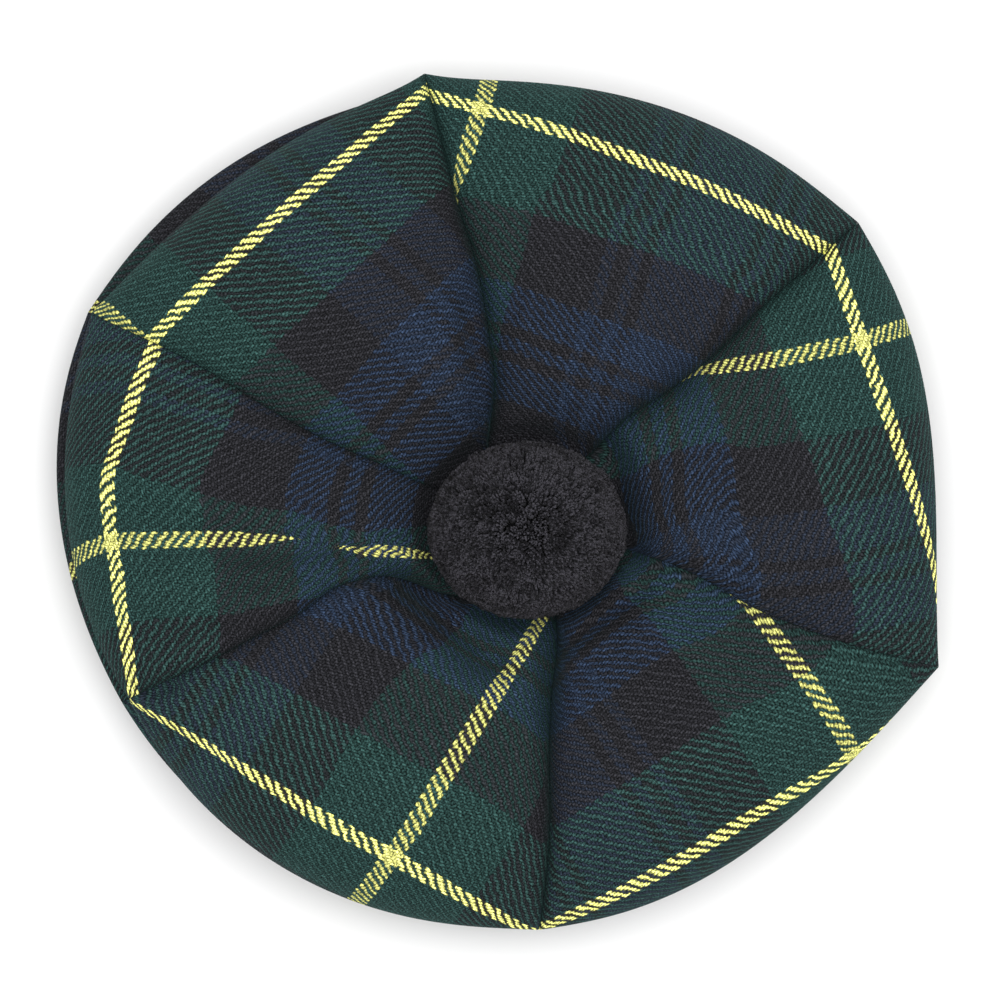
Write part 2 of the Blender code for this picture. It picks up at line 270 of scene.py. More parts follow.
def makeTwillGroup():
    # 2/2 twill.  Each yarn's height is a cosine along its floats, two up and two down, plus
    # a round back across it; the higher yarn of the two shows, with painted shade where both lie low.
    group, given, made = newGroup(
        "tartanTwill",
        [("Cloth", "Vector", None), ("Side", "Float", 1.0)],
        [("Color", "Color"), ("Height", "Float")])
    split = group.nodes.new("ShaderNodeSeparateXYZ")
    group.links.new(given["Cloth"], split.inputs[0])
    swayScale, swayWidth = tartan["sway"]
    wander = noiseField(group, given["Cloth"], swayScale, 2.0, "2D")
    sway = rangeMap(group, wander, 0.0, 1.0, -swayWidth, swayWidth)
    across = maths(group, "ADD", maths(group, "DIVIDE", split.outputs[0], tartan["warpPitch"]), sway)
    along = maths(group, "SUBTRACT", maths(group, "DIVIDE", split.outputs[1], tartan["weftPitch"]), sway)
    warp, weft = maths(group, "FLOOR", across), maths(group, "FLOOR", along)

    # from the middle of the triple stripe to the middle of the yellow
    counts = [count for _, count in tartan["sett"][:6]]
    pivot = tartan["thread"] * (sum(counts) - counts[-1] / 2.0)
    warpPlace = maths(group, "MULTIPLY", maths(group, "ADD", warp, 0.5), tartan["warpPitch"])
    warpPlace = maths(group, "SUBTRACT", maths(group, "MULTIPLY", warpPlace, given["Side"]), pivot)
    weftPlace = maths(group, "MULTIPLY", maths(group, "ADD", weft, 0.5), tartan["weftPitch"])
    weftPlace = maths(group, "SUBTRACT", weftPlace, pivot)
    warpColour = settRamp(group, warpPlace, dict(tartan["yarns"], blue=tartan["warpBlue"]), 0.0)
    weftColour = settRamp(group, weftPlace, tartan["yarns"], tartan["weftSlim"])

    # only the yellow yarn is strong in red, so red tells where it lies
    heights, fluff, reds = [], [], []
    for colour, lift in zip((warpColour, weftColour), tartan["yellowLift"]):
        red = group.nodes.new("ShaderNodeSeparateColor")
        group.links.new(colour, red.inputs[0])
        reds.append(red.outputs[0])
        fluff.append(maths(group, "MULTIPLY", red.outputs[0], lift))
    for own, other, ownNumber, ahead, proud in ((across, along, warp, 1.0, fluff[0]),
                                                (along, across, weft, 2.0, fluff[1])):
        step = maths(group, "SUBTRACT", maths(group, "SUBTRACT", other, ownNumber), ahead)
        wave = maths(group, "COSINE", maths(group, "MULTIPLY", step, math.pi / 2.0))
        back = maths(group, "SINE", maths(group, "MULTIPLY", maths(group, "FRACT", own), math.pi))
        back = maths(group, "MULTIPLY", back, tartan["roundness"])
        height = maths(group, "MULTIPLY", maths(group, "ADD", wave, back), 0.5)
        heights.append(maths(group, "ADD", height, proud))
    heights[1] = maths(group, "ADD", heights[1], tartan["weftProud"])
    over = maths(group, "SUBTRACT", heights[0], heights[1])
    share = rangeMap(group, over, -tartan["blend"], tartan["blend"], 0.0, 1.0)
    top = maths(group, "MAXIMUM", maths(group, "MAXIMUM", heights[0], heights[1]), 0.0)

    tone = group.nodes.new("ShaderNodeMix")
    group.links.new(share, tone.inputs[0])
    for number, seed, socket in zip((weft, warp), tartan["toneSeeds"], tone.inputs[2:4]):
        seeded = maths(group, "ADD", number, seed)
        group.links.new(chanceOf(group, seeded, tartan["yarnTones"]), socket)
    crossing = group.nodes.new("ShaderNodeCombineXYZ")
    group.links.new(warp, crossing.inputs[0])
    group.links.new(weft, crossing.inputs[1])
    spot = chanceOf(group, crossing.outputs[0], tartan["crossingTones"], "2D")
    fibreScale, relief = tartan["fibres"]
    fibres = noiseField(group, given["Cloth"], fibreScale, 3.0, "2D")
    # heathered tone of the wool together with painted glints and shade of its fibres
    heatherGlintAndShade = maths(group, "MULTIPLY", rangeMap(group, fibres, *tartan["heatherGlintAndShade"]), spot)
    # painted shade: darker where the yarns lie low, and warp floats painted darker than weft floats
    paintedPitShade, gain, power = tartan["paintedPitShade"]
    paintedYarnShade = maths(group, "ADD", maths(group, "MULTIPLY", maths(group, "POWER", top, power), gain), paintedPitShade)
    paintedYarnShade = maths(group, "MULTIPLY", paintedYarnShade, rangeMap(group, share, 0.0, 1.0, *tartan["paintedRibShades"]))
    value = maths(group, "MULTIPLY", maths(group, "MULTIPLY", tone.outputs[0], heatherGlintAndShade), paintedYarnShade)
    # the lower yarn's share at a full float is the veil where neither yarn is yellow
    veiling, yellowEnd = tartan["veil"]
    notYellow = maths(group, "MULTIPLY_ADD", maths(group, "ADD", *reds), -yellowEnd, 1.0)
    veil = maths(group, "MULTIPLY", maths(group, "MAXIMUM", notYellow, 0.0), 2.0 * veiling)
    veiled = maths(group, "MULTIPLY_ADD", maths(group, "SUBTRACT", 0.5, share), veil, share)
    yarn = mixColours(group, veiled, weftColour, warpColour)
    shade = group.nodes.new("ShaderNodeCombineColor")
    for socket in shade.inputs:
        group.links.new(value, socket)
    group.links.new(mixColours(group, 1.0, yarn, shade.outputs[0], "MULTIPLY"), made["Color"])
    fuzz = maths(group, "MULTIPLY", fibres, relief)
    group.links.new(maths(group, "ADD", top, fuzz), made["Height"])
    return group


def makeTartan(name, group, side):
    finish = [tartan[label] for label in ("roughness", "sheen", "sheenRoughness", "sheenTint", "specular")]
    material, tree, shader = newMaterial(name, *finish)
    # past the edge of a tuck the cloth goes on at its second place
    cloth, tucked = tree.nodes.new("ShaderNodeUVMap"), tree.nodes.new("ShaderNodeUVMap")
    cloth.uv_map, tucked.uv_map = "cloth", "tuckedCloth"
    place = tree.nodes.new("ShaderNodeMix")
    place.data_type = "VECTOR"
    tree.links.new(maths(tree, "GREATER_THAN", readAttribute(tree, "pastTuck"), 0.0), place.inputs[0])
    tree.links.new(cloth.outputs[0], place.inputs[4])
    tree.links.new(tucked.outputs[0], place.inputs[5])
    twill = tree.nodes.new("ShaderNodeGroup")
    twill.node_tree = group
    twill.inputs["Side"].default_value = side
    tree.links.new(place.outputs[1], twill.inputs["Cloth"])
    # painted shade: the cloth is painted darker along the seams, where shade falls
    paintedSeamShade = readAttribute(tree, "paintedSeamShade")
    shaded = mixColours(tree, paintedSeamShade, twill.outputs["Color"], tartan["paintedSeamShadeColour"])
    tree.links.new(shaded, shader.inputs["Base Color"])
    addBump(tree, shader, twill.outputs["Height"], tartan["bumpDepth"])
    return material


twillGroup = makeTwillGroup()
tartanCloths = {1: makeTartan("tartanTripleClockwise", twillGroup, 1.0),
                -1: makeTartan("tartanBroadClockwise", twillGroup, -1.0)}
print("tartan cloth ready")


crown = {
    "cloth": 2.0,                        # thickness
    "seamGap": 0.06,
    "creviceWidth": 1.5,                 # of the last dip of the cloth into a seam
    "soon": (2.0, 3.0),                  # how soon crevice and allowance are full as a valley begins
    "paintedSeamShade": (0.15, 1.0),               # painted shade in a seam: how dark the cloth is painted there, and how far from it
    "allowance": (0.9, 9.0),             # extra thickness inside along a seam, and its width
    "eye": (6.45, -5.8),
    "lean": (3.2, -2.8),                 # how far the pompom pushes the hollow round it
    "crowning": 2.6,                     # 2 is a round gore, more is flatter with steep sides
    "cornerShare": 0.07,
    "columns": 120,
    "rowsPerSection": 13,
    "topEnd": 0.3,                       # how many sections above the lip the top's lines end
    "bandGap": 0.3,                      # between the headband and the cloth round it
    "mitreLimit": 0.75,                  # of two gores' thickness at their seam
    "columnCrowding": 0.75,              # how much closer the columns lie by the seams
    "bowFade": ((0.0, 90.0), (1.0, 0.35)),   # in from the ring line, and the share of its bow there
    "ringReach": 6.0,                    # over which the cloth beside a slimmer line makes up for it
}

# rimShare and openingShare say where a section lies between eye, rim and opening
sectionColumns = ("rimShare", "openingShare", "seamHeight", "middleHeight", "valley", "bulge", "lean")
sections = {
    "eye": (0.036, 0.0, 36.0, 36.0, 0.0, 0.0, 0.0),
    "recess": (0.12, 0.0, 36.0, 36.0, 0.1, 0.0, 0.5),
    "wall": (0.21, 0.0, 39.0, 40.0, 0.4, 0.0, 1.0),
    "collar": (0.265, 0.0, 46.0, 48.0, 0.8, 0.0, 0.9),
    "shoulder": (0.38, 0.0, 50.5, 56.0, 1.0, 0.0, 0.35),
    "plateau": (0.62, 0.0, 51.5, 59.0, 1.0, 0.0, 0.0),
    "edge": (0.83, 0.0, 47.5, 56.0, 0.8, 0.0, 0.0),
    "roll": (0.95, 0.0, 41.0, 47.0, 0.5, 0.0, 0.0),
    "lip": (1.0, 0.0, 33.5, 35.0, 0.3, 0.0, 0.0),
    "nip": (0.975, 0.0, 29.5, 30.5, 0.2, 0.2, 0.0),
    "cheek": (0.97, 0.02, 24.0, 24.0, 0.1, 1.0, 0.0),
    "under": (0.70, 0.30, 19.0, 17.0, 0.1, 0.5, 0.0),
    "slope": (0.35, 0.65, 19.5, 17.5, 0.0, 0.0, 0.0),
    "opening": (0.0, 1.0, 25.0, 25.0, 0.0, 0.0, 0.0),
}
lipStation = list(sections).index("lip")

# the seams' directions from the eye at six shares of the way to the rim, then at the opening;
# the rim's radius, its corner there, the valley's depth and its width in the gore before the
# seam and in the one after it, how deep the cloth dips at the stitches, and how far the
# underside comes out past the lip
bendShares = (0.2, 0.3, 0.42, 0.55, 0.7, 1.0)
seamColumns = ("nearEye", "collar", "inner", "middle", "outer", "atRim", "atOpening", "radius", "corner",
               "valley", "before", "after", "crevice", "bulge")
seams = {
    "a": (-25.0, -12.5, -9.3, -9.1, -10.6, -11.7, -9.0, 142.6, 4.2, 4.5, 3.6, 6.5, 4.0, 0.0),
    "b": (39.0, 42.5, 48.0, 49.6, 49.0, 48.8, 51.0, 143.8, 1.8, 4.5, 3.8, 6.0, 2.8, 0.0),
    "c": (99.9, 103.3, 106.6, 109.9, 110.5, 109.1, 111.0, 142.4, 0.8, 1.8, 3.2, 6.5, 0.6, 0.0),
    "d": (162.0, 164.5, 169.3, 172.0, 173.4, 176.9, 173.0, 129.5, 2.0, 4.2, 4.4, 3.0, 4.4, 0.0),
    "e": (220.0, 245.5, 250.9, 247.3, 245.9, 245.4, 237.0, 137.0, 0.0, 2.8, 6.5, 4.0, 1.6, 5.2),
    "f": (294.0, 293.6, 293.2, 294.2, 295.8, 296.0, 292.0, 151.3, 0.8, 2.2, 6.5, 3.6, 1.0, 3.8),
}

# a gore's rim radius and underside bulge a third and two thirds of the way across, its puff,
# and the side of its yellow stripe on which the triple stripe comes next
goreColumns = ("rimThird", "rimTwoThirds", "bulgeThird", "bulgeTwoThirds", "puff", "tripleSide")
gores = {
    "ab": (140.4, 141.6, 0.0, 0.0, 1.0, -1),
    "bc": (138.4, 134.4, 0.0, 0.0, 1.0, 1),
    "cd": (130.3, 129.4, 0.0, 0.0, 0.9, -1),
    "de": (132.2, 135.1, 0.4, 1.4, 1.0, 1),
    "ef": (142.2, 146.6, 4.6, 5.7, 0.8, -1),
    "fa": (143.2, 141.7, 8.4, 5.2, 1.0, 1),
}

# folds in the crown: a line in plan, its height (negative for a valley) and half width
folds = {
    "efRidge": (-114.0, -12.0, -58.0, -13.0, 2.8, 7.0),
    "efUnderRidge": (-108.0, -18.0, -66.0, -23.0, -2.2, 5.0),
    "efTuck": (-121.0, -2.0, -63.0, -9.5, -2.0, 3.5),
    "efHollow": (-80.0, -24.0, -43.0, -20.0, -3.4, 6.0),
    "eHollow": (-105.0, -47.0, -88.0, -41.0, -2.4, 4.5),
    "eDent": (-111.0, -61.0, -104.0, -58.5, -5.0, 2.8),
    "deRidge": (-58.0, -26.0, -38.0, -29.0, 3.0, 7.0),
    "deValleyTop": (-33.0, -24.0, -24.0, -28.5, -3.5, 5.0),
    "deValleyLow": (-27.0, -27.0, 0.0, -51.5, -7.2, 5.0),
    "deLip": (-34.0, -37.0, -12.0, -56.0, 1.8, 6.0),
    "bcHollow": (36.0, 17.0, 43.5, -14.0, -7.0, 4.2),
    "cdPleatValley": (20.0, -47.0, 47.0, -27.5, -2.6, 3.0),
    "cdPleatRidge": (24.0, -54.0, 56.0, -36.0, 2.0, 5.0),
    "cdPleatLow": (17.0, -58.0, 38.0, -47.0, -1.8, 2.6),
    "dDeep": (17.0, -41.0, 16.5, -70.0, -3.4, 3.8),
    "cDent": (126.0, -49.5, 134.0, -51.5, -2.0, 4.0),
    "bHollow": (29.0, 18.0, 38.0, 12.0, -3.5, 5.0),
    "bEnd": (46.0, 30.0, 58.0, 38.0, -2.0, 4.0),
    "aDeep": (-9.0, 62.0, -3.0, 26.0, -3.0, 4.2),
    "faPuff": (-18.0, 62.0, -14.0, 36.0, 2.2, 9.0),
    "faSag": (-76.0, 42.0, -44.0, 76.0, -1.5, 14.0),
}

# the yellow line round the crown: its corners at the seams, and how far it stands out from
# the straight line between two corners at even steps from the first to the second
ringCorners = {"a": (-23.0, 132.2), "b": (106.6, 81.9), "c": (144.4, -52.8),
               "d": (13.5, -135.7), "e": (-115.5, -61.4), "f": (-110.0, 55.7)}
ringBows = {
    "ab": (-1.0, 1.2, 2.9, 3.1, 3.1, 1.4, -1.2),
    "bc": (-0.3, 0.8, 2.1, 3.7, 4.8, 4.2, 1.0),
    "cd": (3.5, 6.6, 7.6, 6.4, 6.0, 4.4, 1.2),
    "de": (3.3, 3.6, 3.5, 3.8, 3.1, 2.4, 3.2),
    "ef": (1.4, 2.8, 4.2, 6.3, 7.7, 9.9, 11.2,
           12.0, 9.7, 6.9, 4.3, 0.8, -3.0),
    "fa": (-2.3, -0.8, -0.2, 0.3, 0.2, 0.2, -0.1),
}
# the yellow line that crosses it in each gore, from outside in
crossLines = {
    "ab": ((-2.8, 134.4), (-7.0, 121.0), (-11.6, 106.6), (-21.4, 75.2), (-37.7, 23.4)),
    "bc": ((132.2, 56.6), (112.0, 50.6), (91.6, 46.2), (71.1, 43.4), (61.8, 41.9)),
    "cd": ((115.7, -82.9), (108.1, -69.8), (98.2, -55.3), (87.7, -41.1), (81.2, -32.6)),
    "de": ((-43.8, -126.4), (-27.8, -104.7), (-13.4, -81.4), (0.4, -58.6), (12.8, -39.0)),
    "ef": ((-137.3, -18.2), (-123.2, -12.5), (-78.7, -11.5), (-69.1, -9.9), (-63.7, -9.0),
           (-52.5, -11.9), (-46.8, -13.3), (-43.3, -15.0), (-32.5, -15.0), (-19.1, -15.6)),
    "fa": ((-128.9, 64.1), (-113.1, 51.7), (-92.1, 31.5), (-59.1, -6.0)),
}
# Where lines of the sett lie on the worked and pressed cloth.  A gore's row gives, for each
# line's place in the flat cloth, its place on the hat: wefts at five widths, warps at four depths.
weftWidths = (-20.0, 10.0, 35.0, 60.0, 80.0)
weftLines = (0.0, 27.0, 51.2, 66.0, 77.2, 92.0)
weftPlaces = {
    "ab": ((0, 0, 0, 0, 0), (30.5, 30, 28, 27, 26.3), (53, 53, 51.5, 50.8, 50.5),
           (65.8, 65.3, 64, 63, 62.8), (77.5, 77, 75, 73.8, 72.5), (88, 88, 87, 87, 89)),
    "bc": ((0, 0, 0, 0, 0), (29, 29, 29, 33, 36.5), (51.5, 51.5, 52, 60, 64), (61.5, 62.7, 66.5, 76.5, 79),
           (75, 75.5, 78, 89, 92), (92, 92, 94.5, 102, 106)),
    "cd": ((0, 0, 0, 0, 0), (40.5, 37.8, 33.2, 32, 32), (68, 65, 59.3, 57, 57), (82, 79.5, 74.5, 71, 70),
           (97, 94.5, 87.5, 79.5, 77), (106, 104, 95, 89, 87)),
    "de": ((0, 0, 0, 0, 0), (32, 29.8, 29.5, 29.8, 31), (60, 56.5, 55.3, 55, 55), (73, 69.8, 68.5, 71, 73),
           (84, 79, 81, 87, 90), (100, 93, 95, 100, 104)),
    "ef": ((0, 0, 0, 0, 0), (32, 30.5, 29.5, 33, 34), (57.3, 56, 54.5, 57.3, 58), (71, 69, 66.7, 69.5, 71),
           (80, 79, 78.5, 80, 81), (94, 94, 93, 94, 95)),
    "fa": ((0, 0, 0, 0, 0), (29.8, 29.8, 29.8, 29.8, 29.8), (56, 56, 55.3, 52.5, 52), (70, 70, 69, 67.5, 68),
           (81, 81, 80.3, 79, 80.5), (95, 95, 95.5, 97, 98)),
}
warpDepths = (0.0, 40.0, 60.0, 80.0)
warpLines = (-27.0, 0.0, 27.0, 51.0, 66.0, 77.2)
warpPlaces = {
    "ab": ((-27, -27, -27, -27), (0, 0, 0, 0), (29, 32.5, 32.5, 32.5), (55, 57.5, 57.5, 57.5),
           (69.7, 73, 73, 73), (81, 84, 84, 84)),
    "bc": ((-28, -28, -28, -28), (0, 0, 0, 0), (27, 28, 30.5, 32), (49.5, 49.7, 51.5, 55),
           (65.5, 65, 65, 67), (77, 76, 76, 78)),
    "cd": ((-30, -28, -28, -28), (0, 0, 0, 0), (29.5, 29.5, 29.5, 29.5), (53.7, 54, 54, 54),
           (69, 69, 69, 69), (80, 80, 80, 80)),
    "de": ((-30, -31, -31, -31), (0, 0, 0, 0), (30, 31, 27, 21), (55.5, 54, 53, 50),
           (70.5, 71, 71, 71), (82, 84, 84, 84)),
    "ef": ((-24.5, -24.5, -24.5, -24.5), (0, 0, 0, 0), (28.5, 30, 30, 30), (50.7, 51, 51, 51),
           (67, 68, 68, 68), (78, 79, 79, 79)),
    "fa": ((-27, -27, -27, -27), (0, 0, 0, 0), (28.5, 31.5, 35, 35), (51.5, 56, 57.5, 57.5),
           (68.5, 73, 75, 75), (79.5, 84, 86, 86)),
}
# cloth tucked out of sight along the cross line of a gore: how far in from the ring line, how
# much is tucked there, and the tuck's edge from the cross line's middle, which hides the line
# where it dips below it
tucks = {"ef": ((-20.0, 0.0, 3.4), (0.0, 4.0, 3.4), (29.0, 14.0, 3.4), (40.0, 18.0, 3.0), (45.0, 20.0, 2.1),
                (54.0, 23.0, -0.6), (62.0, 25.0, -3.4), (69.0, 25.0, -3.4), (71.0, 25.0, -1.2),
                (77.0, 24.0, 0.4), (81.0, 24.0, 1.8), (91.0, 23.0, 1.2), (99.0, 22.0, 0.0),
                (110.0, 22.0, -2.4))}
noTuck = ((0.0, 0.0, 1000.0),)
# half width of the ring line where a fold foreshortens it, at the widths of weftWidths
ringHalf = 2.4
ringHalves = {"bc": (2.8, 2.8, 2.8, 2.7, 2.4), "cd": (2.8, 2.8, 2.8, 2.8, 2.8),
              "de": (2.8, 2.8, 2.6, 1.7, 1.2), "ef": (2.7, 2.7, 2.7, 2.7, 2.7)}


def columnOf(table, columns, name):
    return np.array([row[columns.index(name)] for row in table.values()], dtype=float)


def goreSurface(index, across, stations):
    # Outer face of a gore: a point lies between the eye, the rim and the opening by its
    # section's shares.  Its height goes from the seams' to the middle's over a rounded dome,
    # less a bell-shaped roll into the nearer seam, plus the folds, each a bell across its line.
    knots = np.arange(len(sections))
    level = {name: smoothCurve(knots, columnOf(sections, sectionColumns, name), stations)[:, None]
             for name in sectionColumns}
    seam = {name: columnOf(seams, seamColumns, name) for name in seamColumns}
    gore = dict(zip(goreColumns, list(gores.values())[index]))
    after = (index + 1) % len(seams)
    lap = 360.0 if after == 0 else 0.0

    def between(name, turn=0.0):
        return seam[name][index] * (1.0 - across) + (seam[name][after] + turn) * across

    bends = np.array([between(name, lap) for name in seamColumns[:len(bendShares)]])
    fromEye = np.array([smoothCurve(bendShares, bends[:, strip], level["rimShare"][:, 0])
                        for strip in range(len(across))]).T
    corners = (seam["corner"][index] * np.exp(-across / crown["cornerShare"])
               + seam["corner"][after] * np.exp((across - 1.0) / crown["cornerShare"]))
    radius = thirdsCurve((seam["radius"][index], gore["rimThird"], gore["rimTwoThirds"],
                          seam["radius"][after]), across)
    bulge = thirdsCurve((seam["bulge"][index], gore["bulgeThird"], gore["bulgeTwoThirds"],
                         seam["bulge"][after]), across)
    isTop = stations[:, None] <= lipStation
    direction = np.where(isTop, fromEye, between("atRim", lap))
    eye = np.array(crown["eye"])
    rim = eye + planPoints(direction, radius + corners + level["bulge"] * bulge)
    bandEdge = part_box("headband")[1].x / mm + crown["bandGap"]
    opening = planPoints(between("atOpening", lap), bandEdge)
    rimShare, openingShare = level["rimShare"][..., None], level["openingShare"][..., None]
    plan = eye * (1.0 - rimShare - openingShare) + rim * rimShare + opening * openingShare
    plan = plan + np.array(crown["lean"]) * level["lean"][..., None]

    dome = 1.0 - np.abs(2.0 * across - 1.0) ** crown["crowning"]
    width = np.linalg.norm(plan[:, -1] - plan[:, 0], axis=-1)[:, None]
    toSeams = (across * width, (1.0 - across) * width)
    dipping = np.minimum(level["valley"] * crown["soon"][0], 1.0)
    height = level["seamHeight"] + (level["middleHeight"] - level["seamHeight"]) * gore["puff"] * dome
    for distance, number, side in zip(toSeams, (index, after), ("after", "before")):
        height = height - level["valley"] * seam["valley"][number] * np.exp(-distance / seam[side][number])
        dip = dipping * seam["crevice"][number]
        height = height - dip * np.exp(-distance / crown["creviceWidth"])
    for fromX, fromY, toX, toY, rise, halfWidth in folds.values():
        apart = linesDistance(plan, (fromX, fromY), (toX, toY))
        height = height + rise * np.exp(-(apart / halfWidth) ** 2) * level["valley"] * isTop
    return np.concatenate([plan, height[..., None]], axis=-1), np.minimum(*toSeams)


def eased(place, other, lines, stops, table):
    # straight from each line's place on the hat to its place in the flat cloth, unstretched
    # beyond the first and the last line; a line bends with the other place through its stops
    bent = [smoothCurve(stops, row, other) for row in table]
    flat = lines[0] + np.minimum(place - bent[0], 0.0) + np.maximum(place - bent[-1], 0.0)
    for low, high, start, end in zip(lines[:-1], lines[1:], bent[:-1], bent[1:]):
        flat = flat + (high - low) * np.clip((place - start) / (end - start), 0.0, 1.0)
    return flat


def threadPlaces(name, outer):
    # Where each point lies in the flat cloth.  v is the length over the surface inwards from
    # the ring line, square to it; u is the length along the ring from the cross line.  Also
    # where it lies past a tuck, and how far past the tuck's edge it is.
    first, last = (np.array(ringCorners[letter]) for letter in name)
    alongRing = unit(last - first)
    inwards = np.array([alongRing[1], -alongRing[0]])
    rise = np.diff(outer[..., 2], axis=0)
    rings = (outer[..., :2] - first) @ alongRing
    share = rings / np.linalg.norm(last - first)
    ownInward = (outer[..., :2] - first) @ inwards
    bows = ringBows[name]
    bow = smoothCurve(np.linspace(0.0, 1.0, len(bows)), bows, np.clip(share, 0.0, 1.0))
    inward = ownInward + bow * np.interp(ownInward, *crown["bowFade"])
    run = np.sqrt(np.diff(inward, axis=0) ** 2 + rise ** 2)
    length = np.concatenate([np.zeros((1, outer.shape[1])), np.cumsum(run, axis=0)])

    lastTop = int((lipStation - crown["topEnd"]) * crown["rowsPerSection"])
    inside = np.clip((inward[:lastTop] > 0.0).sum(axis=0), 1, lastTop - 1)
    strip = np.arange(outer.shape[1])
    near, far = inward[inside - 1, strip], inward[inside, strip]
    ringLength = (length[inside - 1, strip]
                  + (length[inside, strip] - length[inside - 1, strip]) * near / (near - far))
    v = ringLength - length

    top = outer[:lastTop, :, :2].reshape(-1, 2)
    crossings = []
    for point in np.array(crossLines[name]):
        nearest = np.argmin(np.linalg.norm(top - point, axis=-1))
        depth = v[:lastTop].ravel()[nearest] + (point - top[nearest]) @ inwards
        crossings.append((depth, (point - first) @ alongRing))
    lineV, lineRing = np.array(sorted(crossings)).T
    slopes = np.gradient(lineRing, lineV)
    line = (np.interp(v, lineV, lineRing) + slopes[0] * np.minimum(v - lineV[0], 0.0)
            + slopes[-1] * np.maximum(v - lineV[-1], 0.0))
    beyond = rings - line
    stretch = np.sqrt(np.diff(rings, axis=1) ** 2 + np.diff(outer[..., 2], axis=1) ** 2)
    width = np.concatenate([np.zeros((outer.shape[0], 1)), np.cumsum(stretch, axis=1)], axis=1)
    place = np.clip((beyond < 0.0).sum(axis=1), 1, outer.shape[1] - 1)
    row = np.arange(outer.shape[0])
    before, behind = beyond[row, place - 1], beyond[row, place]
    zero = width[row, place - 1] - (width[row, place] - width[row, place - 1]) * before / (behind - before)
    zero = np.where(beyond[:, 0] > 0.0, -beyond[:, 0], zero)
    zero = np.where(beyond[:, -1] < 0.0, width[:, -1] - beyond[:, -1], zero)
    u = width - zero[:, None]
    if name in ringHalves:
        half = smoothCurve(weftWidths, ringHalves[name], u)
        spare = (ringHalf - half) * np.clip(1.0 - (np.abs(v) - half) / crown["ringReach"], 0.0, 1.0)
        v = np.where(np.abs(v) < half, v * ringHalf / half, v + np.sign(v) * spare)
    tuck = np.array(tucks.get(name, noTuck))
    hidden, edge = (np.interp(v, tuck[:, 0], tuck[:, column]) for column in (1, 2))
    places = [np.stack([eased(along, v, warpLines, warpDepths, warpPlaces[name]),
                        eased(v, along, weftLines, weftWidths, weftPlaces[name])], axis=-1)
              for along in (u, u + hidden)]
    return places, u - edge


def makeCrown():
    step = np.arange(crown["columns"] + 1) / crown["columns"]
    across = step - crown["columnCrowding"] * np.sin(2.0 * np.pi * step) / (2.0 * np.pi)
    stations = np.arange((len(sections) - 1) * crown["rowsPerSection"] + 1) / crown["rowsPerSection"]
    faces = [goreSurface(index, across, stations) for index in range(len(gores))]
    outer = np.array([face for face, _ in faces])
    toSeam = np.array([distance for _, distance in faces])
    down, sideways = np.gradient(outer, axis=1), np.gradient(outer, axis=2)
    normals = unit(np.cross(sideways, down))
    normals[:, 0], normals[:, -1] = (0.0, 0.0, 1.0), (0.0, 0.0, -1.0)
    before = np.roll(normals[:, :, -1], 1, axis=0)
    mitre = unit(normals[:, :, 0] + before)
    stretch = 1.0 / np.clip(np.sum(mitre * before, axis=-1, keepdims=True), crown["mitreLimit"], 1.0)
    aside = unit(np.cross(down[:, :, 0], mitre))
    aside *= np.sign(np.sum(aside * sideways[:, :, 0], axis=-1, keepdims=True))
    normals[:, :, 0], normals[:, :, -1] = mitre * stretch, np.roll(mitre * stretch, -1, axis=0)
    threads = [threadPlaces(name, outer[index]) for index, name in enumerate(gores)]
    outer[:, :, 0] += aside * crown["seamGap"] / 2.0
    outer[:, :, -1] -= np.roll(aside, -1, axis=0) * crown["seamGap"] / 2.0
    extra, reach = crown["allowance"]
    fullness = np.clip(1.0 - toSeam / reach, 0.0, 1.0)
    level = smoothCurve(np.arange(len(sections)), columnOf(sections, sectionColumns, "valley"), stations)
    padding = np.clip(crown["soon"][1] * level, 0.0, 1.0)[None, :, None]
    thick = crown["cloth"] + extra * fullness * padding
    inner = outer - normals * thick[..., None]

    rows, columns = outer.shape[1:3]
    grid = np.arange(rows * columns).reshape(rows, columns)
    edge = np.concatenate([grid[0, :-1], grid[:-1, -1], grid[-1, :0:-1], grid[:0:-1, 0]])
    ahead = np.roll(edge, -1)
    sides = np.stack([ahead, edge, edge + grid.size, ahead + grid.size], axis=-1)
    quads = np.concatenate([gridQuads(grid), gridQuads(grid + grid.size)[:, ::-1], sides]).tolist()
    for index, (name, row) in enumerate(gores.items()):
        points = np.concatenate([outer[index].reshape(-1, 3), inner[index].reshape(-1, 3)])
        (cloth, tuckedCloth), pastTuck = threads[index]
        maps = {"cloth": np.tile(cloth.reshape(-1, 2), (2, 1)),
                "tuckedCloth": np.tile(tuckedCloth.reshape(-1, 2), (2, 1))}
        # painted shade along each seam, darkest at the stitches
        dark, seamShadeWidth = crown["paintedSeamShade"]
        paintedSeamShade = dark * np.exp(-(toSeam[index] / seamShadeWidth) ** 2)
        attributes = {"paintedSeamShade": np.tile(paintedSeamShade.ravel(), 2), "pastTuck": np.tile(pastTuck.ravel(), 2)}
        side = row[goreColumns.index("tripleSide")]
        piece = newPiece("goreCloth_" + name, points, quads, tartanCloths[side],
                         ["gore_" + name], maps, attributes)


makeCrown()


